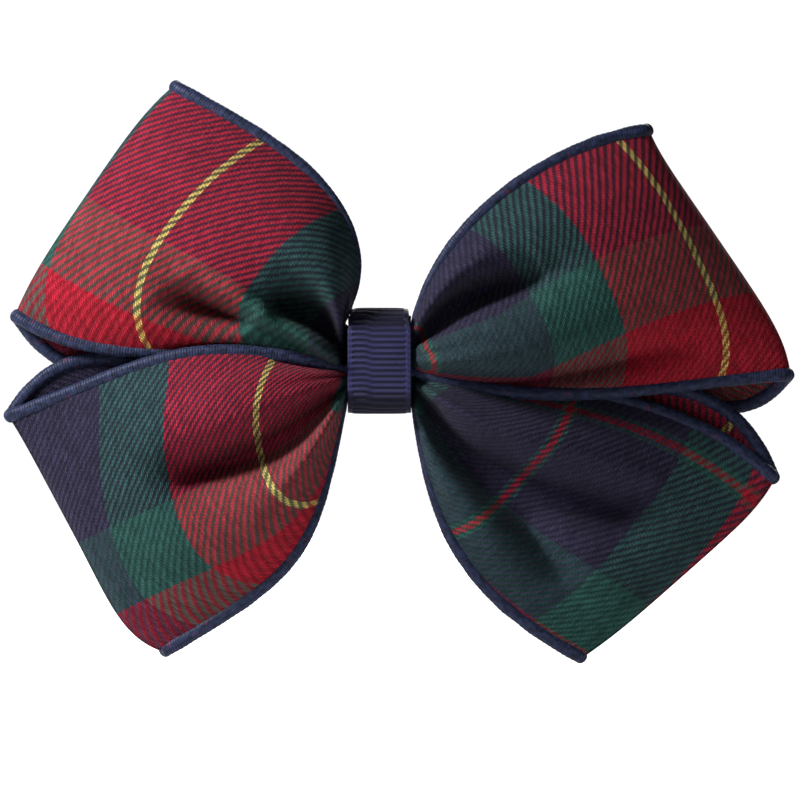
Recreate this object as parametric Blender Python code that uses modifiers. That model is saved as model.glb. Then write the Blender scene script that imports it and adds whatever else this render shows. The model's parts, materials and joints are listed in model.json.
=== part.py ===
"""Hair bow: two looped cloth strips crossed in an X, gathered inside a ribbon wrap, on a sprung hair clip.

The bow is upright, as it is worn: +X to the wearer's left, +Z up, and its face towards -Y.
The origin is on the clip's fixed arm, in the middle of the face that grips the hair.
Every length below is in millimetres, and MM turns it into metres where a mesh is made.
"""

import math

import bmesh
import bpy
from mathutils import Matrix, Vector

MM = 0.001
GAP = 0.3

# Cloth strips
CLOTH = 0.7
EDGING_R = 0.85
EDGING_R_IN_KNOT = 0.42
EDGING_CLEARANCE = 0.42
STATIONS = 10
ACROSS = 10
FOLD_R = 1.1
LOOP_LENGTH = 50.0
PLEAT_PEAK = 0.15

# Depths of the layers through the knot, from the clip forwards
REAR_BACK_Y = -4.95
REAR_FRONT_Y = -6.25
FRONT_BACK_Y = -8.9
FRONT_FRONT_Y = -10.2

# Cinch threads
THREAD_R = 0.25
THREAD_TURNS = 4
THREAD_PITCH = 0.8
THREAD_Z = -0.6
THREAD_HALF_HEIGHT = 5.3
THREAD_GAP = 0.42

# Centre wrap
WRAP_WIDTH = 9.5
WRAP_THICK = 0.8

# Clip
ARM_THICK = 0.8
ARM_Y = -1.1
ARM_HALF_WIDTH = 4.0
ARM_TIP_HALF_WIDTH = 3.2
ARM_TAIL_HALF_WIDTH = 3.8
ARM_TAPER_LENGTH = 9.0
TIP_X = -26.0
TAIL_X = 21.0
PIVOT_X = 9.0
PIVOT_Y = 1.5
PIN_R = 0.75
PIN_CLEARANCE = 0.09
PIN_HEAD_R = 1.35
PIN_HEAD_RIM = 0.5
PIN_HEAD_HEIGHT = 0.8
EAR_R = 1.9
EAR_THICK = 0.8
ARM_EAR_Z = 3.6
ARM_WAIST_END_X = 12.0
LEVER_EAR_Z = 2.5
LEVER_EAR_THICK = 0.6
LEVER_EAR_ROOT_Y = 3.6
LEVER_HALF_WIDTH = 2.8
LEVER_TIP_HALF_WIDTH = 2.4
LEVER_TAIL_HALF_WIDTH = 3.9
LEVER_WAIST_X = (-20.0, 11.4)
TOOTH_GAPS = 4
TOOTH_PITCH = 1.7
FIRST_TOOTH_X = -22.8
TOOTH_GAP_ROOT_Z = 2.0
TOOTH_GAP_MOUTH_Z = 3.3
SPRING_WIRE_R = 0.25
SPRING_COIL_R = 1.2
SPRING_TURNS = 4
SPRING_PITCH = 0.72
RIBBON_GAP = 0.25
LINING_THICK = 0.45
LINING_HALF_WIDTH = 4.5
LINING_INNER_END_X = 6.0
PAD_SIZE = (9.0, 1.1, 8.2)

# Each loop of a strip: its two edges as (knot, knot handle, fold handle, fold corner) in X and Z, on its
# front and on its back; the depth of its fold; how far the layers puff out at (lower edge, middle, upper edge);
# where its pleat's valley runs, from -1 at the lower edge to 1 at the upper one; and the pleat's height.
LOOPS = {
    "upper_left": {
        "front_lower": ((-5.2, -3.0), (-21.0, 5.6), (-38.8, -3.5), (-54.7, 6.8)),
        "front_upper": ((-6.0, 5.4), (3.0, 23.5), (-20.0, 34.5), (-30.8, 41.3)),
        "back_lower": ((-5.2, -3.0), (-22.0, 5.0), (-43.0, -12.0), (-54.7, 6.8)),
        "back_upper": ((-6.0, 5.4), (-3.0, 20.0), (-17.0, 32.5), (-30.8, 41.3)),
        "fold_y": -5.1,
        "front_puff": (2.6, 7.5, 3.4),
        "back_puff": (0.6, 0.2, 0.2),
        "valley": 0.0,
        "pleat": 2.6,
    },
    "lower_right": {
        "front_lower": ((5.2, -5.4), (9.0, -24.5), (13.8, -34.0), (30.4, -44.7)),
        "front_upper": ((5.2, -1.8), (24.3, -4.4), (44.8, -3.5), (59.5, -17.7)),
        "back_lower": ((5.2, -5.4), (11.5, -22.0), (17.0, -33.0), (30.4, -44.7)),
        "back_upper": ((5.2, -1.8), (20.0, -13.0), (49.5, 9.0), (59.5, -17.7)),
        "fold_y": -5.5,
        "front_puff": (2.6, 6.5, 1.0),
        "back_puff": (0.2, 0.0, -1.0),
        "valley": 0.1,
        "pleat": 2.4,
    },
    "lower_left": {
        "front_lower": ((-5.2, -5.4), (-10.0, -30.0), (-12.0, -31.5), (-32.3, -43.6)),
        "front_upper": ((-5.2, -1.2), (-30.0, 4.6), (-33.0, 0.0), (-55.6, -8.3)),
        "back_lower": ((-5.2, -5.4), (-13.0, -27.0), (-16.0, -31.0), (-32.3, -43.6)),
        "back_upper": ((-5.2, -1.2), (-22.0, -16.0), (-42.0, 14.0), (-55.6, -8.3)),
        "fold_y": -6.5,
        "front_puff": (2.6, 6.5, 3.0),
        "back_puff": (1.0, 1.6, 0.3),
        "valley": 0.1,
        "pleat": 2.4,
    },
    "upper_right": {
        "front_lower": ((5.2, -1.6), (23.8, -8.3), (43.0, -3.2), (61.7, -2.0)),
        "front_upper": ((5.2, 5.4), (8.5, 23.0), (25.5, 30.5), (40.4, 34.8)),
        "back_lower": ((5.2, -1.6), (24.0, 20.0), (49.0, -20.5), (61.7, -2.0)),
        "back_upper": ((5.2, 5.4), (11.5, 20.0), (24.0, 28.5), (40.4, 34.8)),
        "fold_y": -6.0,
        "front_puff": (3.0, 6.5, 3.2),
        "back_puff": (6.2, 3.2, 1.6),
        "valley": 0.0,
        "pleat": 2.4,
    },
}

# Half of the wrap's middle line, from the middle of its face round to the middle of its back, as (Y, Z)
WRAP_LINE = (
    (-12.2, 0.0),
    (-12.2, 4.2),
    (-11.4, 6.4),
    (-9.2, 7.5),
    (-6.0, 7.0),
    (-1.8, 6.0),
    (0.15, 5.3),
    (0.75, 3.9),
    (0.75, 0.0),
)

# The lever's middle line, from its pinch tab to its jaw's tip, as (X, Y)
LEVER_LINE = (
    (21.5, 8.4),
    (16.5, 6.0),
    (12.2, 4.2),
    (9.0, 3.6),
    (0.0, 2.9),
    (-12.0, 2.5),
    (-20.0, 1.6),
    (-25.4, 0.8),
)


# ------------------------------------------------------------------ helpers


def clear_scene():
    for obj in list(bpy.data.objects):
        bpy.data.objects.remove(obj, do_unlink=True)


def collection(name, hidden=False):
    made = bpy.data.collections.new(name)
    made.hide_render = hidden
    bpy.context.scene.collection.children.link(made)
    return made


def material(name, color, roughness, metallic=0.0):
    made = bpy.data.materials.new(name)
    made.use_nodes = True
    shader = made.node_tree.nodes["Principled BSDF"]
    shader.inputs["Base Color"].default_value = (*color, 1.0)
    shader.inputs["Roughness"].default_value = roughness
    shader.inputs["Metallic"].default_value = metallic
    return made


def add_object(name, data, home, look=None):
    obj = bpy.data.objects.new(name, data)
    home.objects.link(obj)
    if look:
        data.materials.append(look)
    return obj


def mesh_from(name, points, faces):
    mesh = bpy.data.meshes.new(name)
    mesh.from_pydata([Vector(p) * MM for p in points], [], faces)
    mesh.update()
    return mesh


def smooth(obj, angle=40.0):
    obj.data.shade_smooth()
    obj.data.set_sharp_from_angle(angle=math.radians(angle))


def bezier(points, t):
    """The point at t, from 0 to 1, on the cubic with these four control points."""
    weights = ((1 - t) ** 3, 3 * (1 - t) ** 2 * t, 3 * (1 - t) * t**2, t**3)
    return tuple(sum(w * p[i] for w, p in zip(weights, points)) for i in range(2))


def catmull_rom(points, steps):
    """A smooth line through 2D points, with this many steps from each to the next."""
    last = len(points) - 1
    found = []
    for span in range(last):
        a, b, c, d = (points[min(max(span + k, 0), last)] for k in (-1, 0, 1, 2))
        for step in range(steps):
            t = step / steps
            found.append(tuple(spline_value(a[i], b[i], c[i], d[i], t) for i in range(2)))
    found.append(tuple(points[-1]))
    return found


def spline_value(a, b, c, d, t):
    """A Catmull-Rom spline's value at t, from 0 at b to 1 at c."""
    slope = c - a
    bend = 2 * a - 5 * b + 4 * c - d
    twist = 3 * b - a - 3 * c + d
    return b + 0.5 * (slope * t + bend * t**2 + twist * t**3)


def lerp(a, b, t):
    return a + (b - a) * t


def ease(t):
    t = min(max(t, 0.0), 1.0)
    return t * t * (3 - 2 * t)


def thickened(line, thickness):
    """The closed outline of an open 2D line given a thickness, half to each side."""
    left, right = [], []
    for i, (x, y) in enumerate(line):
        before, after = line[max(i - 1, 0)], line[min(i + 1, len(line) - 1)]
        along = Vector((after[0] - before[0], after[1] - before[1])).normalized()
        left.append((x - along.y * thickness / 2, y + along.x * thickness / 2))
        right.append((x + along.y * thickness / 2, y - along.x * thickness / 2))
    return left + right[::-1]


def prism(name, outline, depth, matrix):
    """A mesh object: a closed 2D outline extruded by depth about its plane, then placed by matrix."""
    curve = bpy.data.curves.new(name, "CURVE")
    curve.dimensions = "2D"
    curve.fill_mode = "BOTH"
    curve.extrude = depth * MM / 2
    spline = curve.splines.new("POLY")
    spline.points.add(len(outline) - 1)
    for point, (x, y) in zip(spline.points, outline):
        point.co = (x * MM, y * MM, 0, 1)
    spline.use_cyclic_u = True
    drawn = bpy.data.objects.new(name + "_outline", curve)
    bpy.context.scene.collection.objects.link(drawn)
    bpy.context.view_layer.update()
    graph = bpy.context.evaluated_depsgraph_get()
    mesh = bpy.data.meshes.new_from_object(drawn.evaluated_get(graph))
    bpy.data.objects.remove(drawn, do_unlink=True)
    bm = bmesh.new()
    bm.from_mesh(mesh)
    bmesh.ops.remove_doubles(bm, verts=bm.verts, dist=1e-7)
    bmesh.ops.transform(bm, matrix=matrix, verts=bm.verts)
    bmesh.ops.recalc_face_normals(bm, faces=bm.faces)
    bm.to_mesh(mesh)
    bm.free()
    return mesh


def side_view(z=0.0):
    """Places an outline drawn in X and Y at height z."""
    return Matrix.Translation((0, 0, z * MM))


def front_view(y=0.0):
    """Places an outline drawn in X and Z at depth y."""
    return Matrix.Translation((0, y * MM, 0)) @ Matrix.Rotation(math.radians(90), 4, "X")


def boolean(obj, other, operation):
    modifier = obj.modifiers.new(operation.title(), "BOOLEAN")
    modifier.operation = operation
    modifier.object = other


def put_origin_on_pivot(obj):
    """Moves an object's origin, and not its shape, onto the clip's pivot."""
    pivot = Vector((PIVOT_X, PIVOT_Y, 0)) * MM
    obj.data.transform(Matrix.Translation(-pivot))
    obj.location = pivot


def cutter(name, mesh, home):
    obj = add_object(name, mesh, home)
    obj.hide_render = True
    obj.display_type = "WIRE"
    return obj


def rod_mesh(name, radius, length, segments):
    """A cylinder along Z about the pivot."""
    bm = bmesh.new()
    bmesh.ops.create_cone(
        bm,
        cap_ends=True,
        segments=segments,
        radius1=radius * MM,
        radius2=radius * MM,
        depth=length * MM,
        matrix=Matrix.Translation((PIVOT_X * MM, PIVOT_Y * MM, 0)),
    )
    mesh = bpy.data.meshes.new(name)
    bm.to_mesh(mesh)
    bm.free()
    return mesh


def tube(name, points, radii, closed, look, home, resolution=1):
    """A round cord through the points, with a radius at each."""
    curve = bpy.data.curves.new(name, "CURVE")
    curve.dimensions = "3D"
    curve.bevel_depth = MM
    curve.bevel_resolution = resolution
    curve.use_fill_caps = not closed
    spline = curve.splines.new("POLY")
    spline.points.add(len(points) - 1)
    for point, co, radius in zip(spline.points, points, radii):
        point.co = (*(c * MM for c in co), 1)
        point.radius = radius
    spline.use_cyclic_u = closed
    return add_object(name, curve, home, look)


# ------------------------------------------------------------------ cloth strips


def across(values, v):
    """A smooth value at v from the values at the lower edge, the middle and the upper edge."""
    lower, middle, upper = values
    return lower * v * (v - 1) / 2 + middle * (1 - v * v) + upper * v * (v + 1) / 2


def fold_gap(t):
    """Half the distance between the layers next to the fold, which turns on a half circle."""
    short = min((1 - t) * LOOP_LENGTH, FOLD_R)
    return math.sqrt(FOLD_R**2 - (FOLD_R - short) ** 2) * ease(t / 0.5)


def loop_depth(loop, side, knot_y, t, v):
    """Y of a loop's layer at t along it, from the knot to the fold, and at v across it."""
    swell = 2 * t * math.sqrt(max(1 - t * t, 0.0))
    middle = lerp(knot_y, loop["fold_y"], ease(t))
    if side == "back":
        return middle + fold_gap(t) + across(loop["back_puff"], v) * swell * t
    ridge = (1 - math.cos(2 * math.pi * (v - loop["valley"] * (1 - v * v)))) / 2
    rise = t / PLEAT_PEAK * math.exp(1 - t / PLEAT_PEAK)
    return middle - fold_gap(t) - across(loop["front_puff"], v) * swell - loop["pleat"] * ridge * rise


def loop_rings(loop, knot_y):
    """Rings of (lower edge, upper edge, depth, edging radius): the front, the fold, then the back."""
    rings = []
    for step in range(2 * STATIONS + 1):
        t = math.sin(math.pi / 2 * step / STATIONS)
        side = "front" if step <= STATIONS else "back"
        t = 1.0 if step == STATIONS else max(t, 0.0)
        rings.append(
            (
                bezier(loop[side + "_lower"], t),
                bezier(loop[side + "_upper"], t),
                lambda v, side=side, t=t: loop_depth(loop, side, knot_y[side], t, v),
                lerp(EDGING_R_IN_KNOT, EDGING_R, ease(t / 0.2)),
            )
        )
    return rings


def strip_rings(left, right, front_y, back_y):
    """The whole closed band: the left loop from front to back, then through the knot to the right loop."""
    knot_y = {"front": front_y, "back": back_y}
    left_rings = loop_rings(left, knot_y)
    right_rings = loop_rings(right, knot_y)[::-1]

    def crossing(a, b, y):
        lower = tuple(lerp(a[0][i], b[0][i], 0.5) for i in range(2))
        upper = tuple(lerp(a[1][i], b[1][i], 0.5) for i in range(2))
        return lower, upper, lambda v: y, EDGING_R_IN_KNOT

    behind = crossing(left_rings[-1], right_rings[0], back_y)
    before = crossing(right_rings[-1], left_rings[0], front_y)
    return [*left_rings, behind, *right_rings, before]


def ring_point(ring, share):
    """The point of a ring at a share of the way from its lower edge to its upper one."""
    lower, upper, depth, _ = ring
    return Vector((lerp(lower[0], upper[0], share), depth(2 * share - 1), lerp(lower[1], upper[1], share)))


def inward_step(line, facing, i, length):
    """A step into the cloth from point i of a closed edge line, square to the line, towards the facing edge."""
    along = (line[(i + 1) % len(line)] - line[i - 1]).normalized()
    over = facing[i] - line[i]
    return (over - over.dot(along) * along).normalized() * length


def cloth_row(ring, lower_step, upper_step):
    """Points across one ring of cloth that start and end these steps in from its two edges."""
    width = (ring_point(ring, 1.0) - ring_point(ring, 0.0)).length
    inset = (ring[3] + EDGING_CLEARANCE) / width
    lower_shift = ring_point(ring, 0.0) + lower_step - ring_point(ring, inset)
    upper_shift = ring_point(ring, 1.0) + upper_step - ring_point(ring, 1 - inset)
    row = []
    for i in range(ACROSS + 1):
        share = i / ACROSS
        point = ring_point(ring, lerp(inset, 1 - inset, share))
        row.append(point + lower_shift * (1 - share) ** 2 + upper_shift * share**2)
    return row


def make_strip(name, left, right, front_y, back_y, looks, home):
    rings = strip_rings(left, right, front_y, back_y)
    count = len(rings)
    radii = [ring[3] for ring in rings]
    lower_line = [ring_point(ring, 0.0) for ring in rings]
    upper_line = [ring_point(ring, 1.0) for ring in rings]
    points = []
    for i, ring in enumerate(rings):
        length = radii[i] + EDGING_CLEARANCE
        lower_step = inward_step(lower_line, upper_line, i, length)
        upper_step = inward_step(upper_line, lower_line, i, length)
        points += cloth_row(ring, lower_step, upper_step)
    row = ACROSS + 1
    faces = [
        (i * row + j, i * row + j + 1, (i + 1) % count * row + j + 1, (i + 1) % count * row + j)
        for i in range(count)
        for j in range(ACROSS)
    ]
    obj = add_object(name, mesh_from(name, points, faces), home, looks["tartan"])
    solid = obj.modifiers.new("Thickness", "SOLIDIFY")
    solid.thickness = CLOTH * MM
    solid.offset = 0.0
    smooth(obj, 60)
    tube(name + "_lower_edging", lower_line, radii, True, looks["edging"], home)
    tube(name + "_upper_edging", upper_line, radii, True, looks["edging"], home)


def make_cinch_thread(name, back_y, front_y, look, home):
    """A few turns round the gathered layers between two depths, side by side along X."""
    steps = 12
    middle_y = (back_y + front_y) / 2
    half_depth = (back_y - front_y) / 2 + CLOTH / 2 + THREAD_GAP + THREAD_R
    points = []
    for step in range(THREAD_TURNS * steps + 1):
        angle = 2 * math.pi * step / steps
        c, s = math.cos(angle), math.sin(angle)
        points.append(
            (
                THREAD_PITCH * (step / steps - THREAD_TURNS / 2),
                middle_y + half_depth * math.copysign(abs(s) ** 0.35, s),
                THREAD_Z + THREAD_HALF_HEIGHT * math.copysign(abs(c) ** 0.8, c),
            )
        )
    tube(name, points, [THREAD_R] * len(points), False, look, home)


# ------------------------------------------------------------------ knot


def make_wrap(look, home):
    half = catmull_rom(WRAP_LINE, 3)
    line = half + [(y, -z) for y, z in half[-2:0:-1]]
    columns = (-WRAP_WIDTH / 2, 0.0, WRAP_WIDTH / 2)
    points = [(x, y, z) for y, z in line for x in columns]
    row = len(columns)
    count = len(line)
    faces = [
        (i * row + j, (i + 1) % count * row + j, (i + 1) % count * row + j + 1, i * row + j + 1)
        for i in range(count)
        for j in range(row - 1)
    ]
    obj = add_object("centre_wrap", mesh_from("centre_wrap", points, faces), home, look)
    solid = obj.modifiers.new("Thickness", "SOLIDIFY")
    solid.thickness = WRAP_THICK * MM
    solid.offset = 0.0
    smooth(obj, 60)


def make_glue_pad(look, home):
    bm = bmesh.new()
    bmesh.ops.create_cube(bm, size=1.0)
    bmesh.ops.scale(bm, vec=Vector(PAD_SIZE) * MM, verts=bm.verts)
    mesh = bpy.data.meshes.new("glue_pad")
    bm.to_mesh(mesh)
    bm.free()
    obj = add_object("glue_pad", mesh, home, look)
    lining_face = ARM_Y - ARM_THICK / 2 - RIBBON_GAP - LINING_THICK
    obj.location = (0, (lining_face - RIBBON_GAP - PAD_SIZE[1] / 2) * MM, 0)
    rounded = obj.modifiers.new("Rounded", "BEVEL")
    rounded.width = 0.4 * MM
    rounded.segments = 2
    smooth(obj)


# ------------------------------------------------------------------ clip


def rounded_end(x, half, start, corner=10):
    """A half circle of points about (x, 0), from this angle on."""
    turn = [math.radians(start + 180 * i / corner) for i in range(corner + 1)]
    return [(x + half * math.cos(a), half * math.sin(a)) for a in turn]


def plan_outline(x_tip, tip_half, x_waist, waist_half, x_tail, tail_half):
    """A long plate seen from the front: rounded at both ends, with its own half width at its waist."""
    low, high = x_waist
    return [
        *rounded_end(x_tip + tip_half, tip_half, 90),
        (low, -waist_half),
        (high, -waist_half),
        *rounded_end(x_tail - tail_half, tail_half, -90),
        (high, waist_half),
        (low, waist_half),
    ]


def ear_outline(root_y, steps=10):
    """An ear seen from above: straight sides from its plate at root_y, round about the pivot."""
    away = 1 if root_y < PIVOT_Y else -1
    turn = [math.radians(180 * i / steps) for i in range(steps + 1)]
    arc = [(PIVOT_X + EAR_R * math.cos(a), PIVOT_Y + away * EAR_R * math.sin(a)) for a in turn]
    return [(PIVOT_X + EAR_R, root_y), *arc, (PIVOT_X - EAR_R, root_y)]


def make_arm(look, home, cutters):
    waist = (TIP_X + ARM_TAPER_LENGTH, ARM_WAIST_END_X)
    outline = plan_outline(TIP_X, ARM_TIP_HALF_WIDTH, waist, ARM_HALF_WIDTH, TAIL_X, ARM_TAIL_HALF_WIDTH)
    plate = prism("clip_fixed_arm", outline, ARM_THICK, front_view(ARM_Y))
    obj = add_object("clip_fixed_arm", plate, home, look)
    for name, z in (("upper", ARM_EAR_Z), ("lower", -ARM_EAR_Z)):
        ear = prism("ear", ear_outline(ARM_Y), EAR_THICK, side_view(z))
        boolean(obj, cutter(f"arm_{name}_ear", ear, cutters), "UNION")
    hole = rod_mesh("hole", PIN_R + PIN_CLEARANCE, 4 * ARM_EAR_Z, 24)
    boolean(obj, cutter("arm_pin_hole", hole, cutters), "DIFFERENCE")
    smooth(obj, 30)


def make_lever(look, home, cutters):
    line = catmull_rom(LEVER_LINE, 3)
    side = prism("clip_lever", thickened(line, ARM_THICK), 4 * ARM_HALF_WIDTH, side_view())
    obj = add_object("clip_lever", side, home, look)
    outline = plan_outline(
        LEVER_LINE[-1][0],
        LEVER_TIP_HALF_WIDTH,
        LEVER_WAIST_X,
        LEVER_HALF_WIDTH,
        LEVER_LINE[0][0],
        LEVER_TAIL_HALF_WIDTH,
    )
    plan = prism("plan", outline, 60, front_view())
    boolean(obj, cutter("lever_plan", plan, cutters), "INTERSECT")
    for name, z in (("upper", LEVER_EAR_Z), ("lower", -LEVER_EAR_Z)):
        ear = prism("ear", ear_outline(LEVER_EAR_ROOT_Y), LEVER_EAR_THICK, side_view(z))
        boolean(obj, cutter(f"lever_{name}_ear", ear, cutters), "UNION")
    hole = rod_mesh("hole", PIN_R + PIN_CLEARANCE, 4 * ARM_EAR_Z, 24)
    boolean(obj, cutter("lever_pin_hole", hole, cutters), "DIFFERENCE")
    for i in range(TOOTH_GAPS):
        gap_x = FIRST_TOOTH_X + TOOTH_PITCH * i
        mouth = [(gap_x - 0.5, TOOTH_GAP_MOUTH_Z), (gap_x + 0.5, TOOTH_GAP_MOUTH_Z)]
        outline = [*mouth, (gap_x, TOOTH_GAP_ROOT_Z)]
        for name, sign in (("upper", 1), ("lower", -1)):
            drawn = [(x, sign * z) for x, z in outline]
            wedge = prism("tooth_gap", drawn, 12, front_view())
            boolean(obj, cutter(f"tooth_gap_{name}_{i + 1}", wedge, cutters), "DIFFERENCE")
    smooth(obj, 30)
    put_origin_on_pivot(obj)


def make_pin(look, home):
    """A pin with a rivet head at each end: a profile turned about the pivot."""
    inner_z = ARM_EAR_Z + EAR_THICK / 2 + GAP
    rim_z = inner_z + PIN_HEAD_RIM
    top_z = inner_z + PIN_HEAD_HEIGHT
    half = [(0.0, top_z), (PIN_R, top_z), (PIN_HEAD_R, rim_z), (PIN_HEAD_R, inner_z), (PIN_R, inner_z)]
    profile = half + [(r, -z) for r, z in half[::-1]]
    mesh = bpy.data.meshes.new("clip_pin")
    edges = [(i, i + 1) for i in range(len(profile) - 1)]
    mesh.from_pydata([(r * MM, 0, z * MM) for r, z in profile], edges, [])
    obj = add_object("clip_pin", mesh, home, look)
    obj.location = (PIVOT_X * MM, PIVOT_Y * MM, 0)
    turned = obj.modifiers.new("Turned", "SCREW")
    turned.steps = 24
    turned.render_steps = 24
    turned.use_merge_vertices = True
    turned.merge_threshold = 1e-6
    turned.use_smooth_shade = False


def make_spring(look, home):
    """A torsion coil on the pin; one leg lies along the fixed arm's tail and the other along the lever's."""
    steps = 12
    low_z = -SPRING_TURNS * SPRING_PITCH / 2
    points = [(15.0, -0.1, low_z), (12.0, 0.0, low_z)]
    for step in range(SPRING_TURNS * steps + steps // 2 + 1):
        angle = math.radians(-90) - 2 * math.pi * step / steps
        x = PIVOT_X + SPRING_COIL_R * math.cos(angle)
        y = PIVOT_Y + SPRING_COIL_R * math.sin(angle)
        points.append((x, y, low_z + SPRING_PITCH * step / steps))
    end_z = points[-1][2]
    points += [(12.0, 3.0, end_z), (15.0, 4.3, end_z)]
    obj = tube("clip_spring", points, [SPRING_WIRE_R] * len(points), False, look, home)
    put_origin_on_pivot(obj)


def make_lining(look, home):
    """Ribbon folded over the arm's tip: one run under the bow, the other on the gripping side."""
    offset = ARM_THICK / 2 + RIBBON_GAP + LINING_THICK / 2
    turn = [math.radians(-90 - 180 * i / 8) for i in range(9)]
    fold = [(TIP_X + 0.2 + offset * math.cos(a), ARM_Y + offset * math.sin(a)) for a in turn]
    line = [(TAIL_X - 0.5, ARM_Y - offset), *fold, (LINING_INNER_END_X, ARM_Y + offset)]
    mesh = prism("clip_lining", thickened(line, LINING_THICK), 2 * LINING_HALF_WIDTH, side_view())
    obj = add_object("clip_lining", mesh, home, look)
    smooth(obj, 50)


# ------------------------------------------------------------------ assembly


def main():
    clear_scene()
    home = collection("hair_bow")
    cutters = collection("cutters", hidden=True)
    looks = {
        "tartan": material("tartan_twill", (0.28, 0.03, 0.05), 0.85),
        "edging": material("overlock_thread", (0.03, 0.035, 0.09), 0.55),
        "grosgrain": material("grosgrain", (0.025, 0.025, 0.07), 0.6),
        "thread": material("cinch_thread", (0.05, 0.05, 0.08), 0.7),
        "glue": material("hot_melt", (0.8, 0.78, 0.7), 0.4),
        "steel": material("nickel_plate", (0.75, 0.74, 0.71), 0.25, 1.0),
        "spring": material("spring_wire", (0.6, 0.6, 0.6), 0.35, 1.0),
    }
    make_strip(
        "rear_strip", LOOPS["upper_left"], LOOPS["lower_right"], REAR_FRONT_Y, REAR_BACK_Y, looks, home
    )
    make_strip(
        "front_strip", LOOPS["lower_left"], LOOPS["upper_right"], FRONT_FRONT_Y, FRONT_BACK_Y, looks, home
    )
    make_cinch_thread("rear_cinch_thread", REAR_BACK_Y, REAR_FRONT_Y, looks["thread"], home)
    make_cinch_thread("front_cinch_thread", FRONT_BACK_Y, FRONT_FRONT_Y, looks["thread"], home)
    make_wrap(looks["grosgrain"], home)
    make_glue_pad(looks["glue"], home)
    make_lining(looks["grosgrain"], home)
    make_arm(looks["steel"], home, cutters)
    make_lever(looks["steel"], home, cutters)
    make_pin(looks["steel"], home)
    make_spring(looks["spring"], home)


main()
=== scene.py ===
"""Looks for the hair bow: tartan strips with overlocked edges, a grosgrain wrap and a lined steel clip.

Lengths are in millimetres, and MM turns them into metres where a mesh is made. The loops' edges and
depths start from the part's own values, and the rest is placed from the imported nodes.
"""

import json
import math

import bmesh
import bpy
import numpy as np
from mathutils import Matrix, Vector, noise


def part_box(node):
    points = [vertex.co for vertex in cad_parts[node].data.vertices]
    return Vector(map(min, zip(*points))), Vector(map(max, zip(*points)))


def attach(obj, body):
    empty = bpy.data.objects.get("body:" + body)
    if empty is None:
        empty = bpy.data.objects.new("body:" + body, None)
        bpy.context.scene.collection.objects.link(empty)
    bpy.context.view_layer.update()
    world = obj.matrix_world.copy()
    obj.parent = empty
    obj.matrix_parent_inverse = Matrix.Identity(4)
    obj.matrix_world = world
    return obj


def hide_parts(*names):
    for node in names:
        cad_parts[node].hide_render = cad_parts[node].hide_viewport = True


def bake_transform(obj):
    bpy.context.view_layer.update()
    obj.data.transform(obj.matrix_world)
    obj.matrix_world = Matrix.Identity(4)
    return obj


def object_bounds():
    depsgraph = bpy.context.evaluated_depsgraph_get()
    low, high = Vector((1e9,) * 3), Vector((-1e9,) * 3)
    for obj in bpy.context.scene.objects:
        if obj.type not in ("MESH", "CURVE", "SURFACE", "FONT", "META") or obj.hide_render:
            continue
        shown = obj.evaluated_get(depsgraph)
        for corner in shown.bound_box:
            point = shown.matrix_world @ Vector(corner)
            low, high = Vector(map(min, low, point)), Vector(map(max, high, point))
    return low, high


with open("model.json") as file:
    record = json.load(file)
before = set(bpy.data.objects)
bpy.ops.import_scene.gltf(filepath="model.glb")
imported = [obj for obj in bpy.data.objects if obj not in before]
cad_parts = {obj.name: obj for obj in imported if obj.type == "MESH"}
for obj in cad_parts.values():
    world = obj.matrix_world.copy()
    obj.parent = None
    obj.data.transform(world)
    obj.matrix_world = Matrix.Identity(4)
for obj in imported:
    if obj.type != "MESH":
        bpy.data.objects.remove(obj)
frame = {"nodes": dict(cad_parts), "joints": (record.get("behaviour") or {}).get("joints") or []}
CAD_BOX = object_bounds()

MM = 0.001

# ------------------------------------------------------------------ the bow's measures

STRIP_HALF = 22.0
CLOTH = 0.5
LAYER_GAP = 0.9
FOLD_R = 1.1
LOOP_REACH = 50.0

# Faces along and across each layer of a loop
ALONG = 84
ACROSS = 84

# Depths of the layers through the knot
REAR_LAYERS = {"front": -6.25, "back": -4.95}
FRONT_LAYERS = {"front": -10.2, "back": -8.9}

# The swell of a loop's front layer. The peaks are shares of the way from the knot to the fold.
FOLD_FLATNESS = 0.75
PLEAT_PEAK = 0.15
GATHER_PEAK = 0.08
GATHER_DEPTH = 0.55
GATHERS_ACROSS = 2.6
GATHERS_START = 0.3

# Creases are shallower in the knot's grip. They run on towards it, by this many of their first pieces.
GRIP_END = 0.06
DEPTH_IN_GRIP = 0.35
RUN_ON = 9.0

# The overlocked edging: its radius, the distance between its rings of points, and one turn of its thread
EDGING_R = 0.95
EDGING_R_IN_KNOT = 0.5
EDGING_STEP = 0.21
EDGING_TURN = 0.84
EDGING_SIDES = 16
EDGING_WIDE = 1.08
EDGING_HIGH = 0.92

# The tartan: the pitch of its threads, and half of its sett along and across the strip
WEFT_PITCH = 0.31
WARP_PITCH = 0.41
WEFT_HALF_SETT = 45.2
WARP_HALF_SETT = 58.0

# The check slips sideways by a loop's drift at this distance from the fold, and no further past the end
DRIFT_PLACE = 30.0
DRIFT_END = 40.0

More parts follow.
